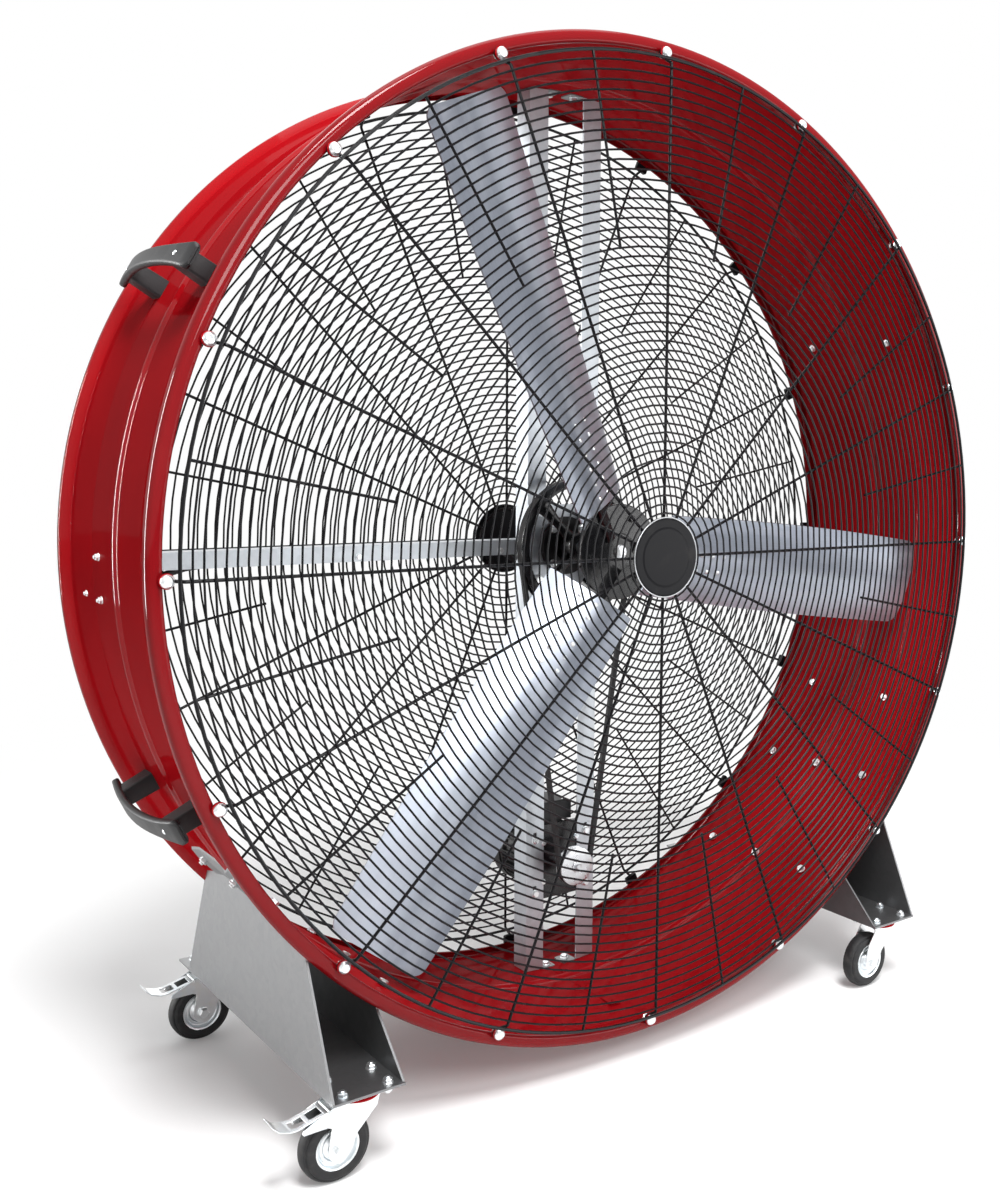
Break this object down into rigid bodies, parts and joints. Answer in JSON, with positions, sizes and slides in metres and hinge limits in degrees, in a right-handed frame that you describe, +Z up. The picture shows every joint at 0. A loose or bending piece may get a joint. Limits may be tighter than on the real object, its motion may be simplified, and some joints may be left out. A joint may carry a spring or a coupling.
{
  "type": "drum fan",
  "caption": "Mobile drum fan: a red sheet-metal drum with wire guards, twisted blades on a belt-driven shaft, folded sheet feet, bridge handles and swivel castors with foot brakes.",
  "frame": {"origin": "on the floor below the middle of the feet, 29 mm behind the middle of the drum", "axes": "+Z up; +Y along the fan's axis, from the front guard to the rear guard; +X to the right of someone who faces the front guard"},
  "size_m": [1.88, 0.72, 1.927],
  "materials": {
    "red_paint": "gloss red enamel over galvanised sheet, light orange peel",
    "guard_wire": "black powder coat, semi-gloss",
    "plate_paint": "black satin paint on a pressed disc",
    "galvanised": "galvanised sheet with a faint spangle",
    "handle_plastic": "black moulded plastic, fine grain",
    "bright_steel": "turned and ground steel",
    "black_paint": "black satin paint",
    "blade_metal": "zinc-coated blade sheet, satin, rolled along the blade",
    "cast_black": "cast metal under black paint",
    "box_plastic": "dark moulded plastic, fine grain",
    "belt_rubber": "black rubber, matt",
    "zinc": "bright zinc plate, slightly clouded",
    "tyre_rubber": "solid black rubber tyre"
  },
  "bodies": {
    "frame": {"drum_shell": "red_paint", "front_guard": "guard_wire", "rear_guard": "guard_wire", "front_centre_plate": "plate_paint", "rear_centre_plate": "plate_paint", "left_strut": "galvanised", "right_strut": "galvanised", "side_strut": "galvanised", "bearing_plate": "galvanised", "left_foot": "galvanised", "right_foot": "galvanised", "handle_left_upper": "handle_plastic", "handle_left_lower": "handle_plastic", "handle_right_upper": "handle_plastic", "handle_right_lower": "handle_plastic", "front_bearing": "bright_steel", "rear_bearing": "bright_steel", "motor_plate": "black_paint", "bearing_housing": "cast_black", "motor_body": "cast_black", "motor_fan_cover": "cast_black", "terminal_box": "box_plastic", "switch_box": "box_plastic", "supply_gland": "box_plastic", "drive_belt": "belt_rubber", "motor_cable": "belt_rubber", "front_left_castor_plate": "zinc", "rear_left_castor_plate": "zinc", "front_right_castor_plate": "zinc", "rear_right_castor_plate": "zinc"},
    "fan_rotor": {"fan_shaft": "bright_steel", "blade_hub": "black_paint", "blade_1": "blade_metal", "blade_2": "blade_metal", "blade_3": "blade_metal", "driven_pulley": "black_paint"},
    "motor_rotor": {"motor_shaft": "bright_steel", "drive_pulley": "bright_steel"},
    "front_left_swivel": {"front_left_castor_fork": "zinc", "front_left_castor_axle": "zinc"},
    "front_left_wheel": {"front_left_wheel_rim": "zinc", "front_left_tyre": "tyre_rubber"},
    "front_left_pedal": {"front_left_brake_pedal": "zinc"},
    "rear_left_swivel": {"rear_left_castor_fork": "zinc", "rear_left_castor_axle": "zinc"},
    "rear_left_wheel": {"rear_left_wheel_rim": "zinc", "rear_left_tyre": "tyre_rubber"},
    "rear_left_pedal": {"rear_left_brake_pedal": "zinc"},
    "front_right_swivel": {"front_right_castor_fork": "zinc", "front_right_castor_axle": "zinc"},
    "front_right_wheel": {"front_right_wheel_rim": "zinc", "front_right_tyre": "tyre_rubber"},
    "rear_right_swivel": {"rear_right_castor_fork": "zinc", "rear_right_castor_axle": "zinc"},
    "rear_right_wheel": {"rear_right_wheel_rim": "zinc", "rear_right_tyre": "tyre_rubber"}
  },
  "joints": [
    {"name": "fan_spin", "type": "hinge", "parent": "frame", "child": "fan_rotor", "pos_m": [0, -0.029, 0.987], "axis": [0, 1, 0], "continuous": true},
    {"name": "motor_spin", "type": "hinge", "parent": "frame", "child": "motor_rotor", "pos_m": [0, -0.029, 0.314], "axis": [0, 1, 0], "continuous": true},
    {"name": "front_left_swivel_turn", "type": "hinge", "parent": "frame", "child": "front_left_swivel", "pos_m": [-0.637, -0.312, 0.12], "axis": [0, 0, 1], "continuous": true},
    {"name": "front_left_wheel_roll", "type": "hinge", "parent": "front_left_swivel", "child": "front_left_wheel", "pos_m": [-0.679, -0.312, 0.06], "axis": [0, 1, 0], "continuous": true},
    {"name": "front_left_brake_press", "type": "hinge", "parent": "front_left_swivel", "child": "front_left_pedal", "pos_m": [-0.693, -0.312, 0.127], "axis": [0, -1, 0], "range_deg": [0, 10]},
    {"name": "rear_left_swivel_turn", "type": "hinge", "parent": "frame", "child": "rear_left_swivel", "pos_m": [-0.637, 0.312, 0.12], "axis": [0, 0, 1], "continuous": true},
    {"name": "rear_left_wheel_roll", "type": "hinge", "parent": "rear_left_swivel", "child": "rear_left_wheel", "pos_m": [-0.679, 0.312, 0.06], "axis": [0, 1, 0], "continuous": true},
    {"name": "rear_left_brake_press", "type": "hinge", "parent": "rear_left_swivel", "child": "rear_left_pedal", "pos_m": [-0.693, 0.312, 0.127], "axis": [0, -1, 0], "range_deg": [0, 10]},
    {"name": "front_right_swivel_turn", "type": "hinge", "parent": "frame", "child": "front_right_swivel", "pos_m": [0.637, -0.312, 0.12], "axis": [0, 0, 1], "continuous": true},
    {"name": "front_right_wheel_roll", "type": "hinge", "parent": "front_right_swivel", "child": "front_right_wheel", "pos_m": [0.595, -0.312, 0.06], "axis": [0, 1, 0], "continuous": true},
    {"name": "rear_right_swivel_turn", "type": "hinge", "parent": "frame", "child": "rear_right_swivel", "pos_m": [0.637, 0.312, 0.12], "axis": [0, 0, 1], "continuous": true},
    {"name": "rear_right_wheel_roll", "type": "hinge", "parent": "rear_right_swivel", "child": "rear_right_wheel", "pos_m": [0.595, 0.312, 0.06], "axis": [0, 1, 0], "continuous": true}
  ],
  "couplings": [
    {"joint": "motor_spin", "follows": "fan_spin", "ratio": 3.8056}
  ]
}
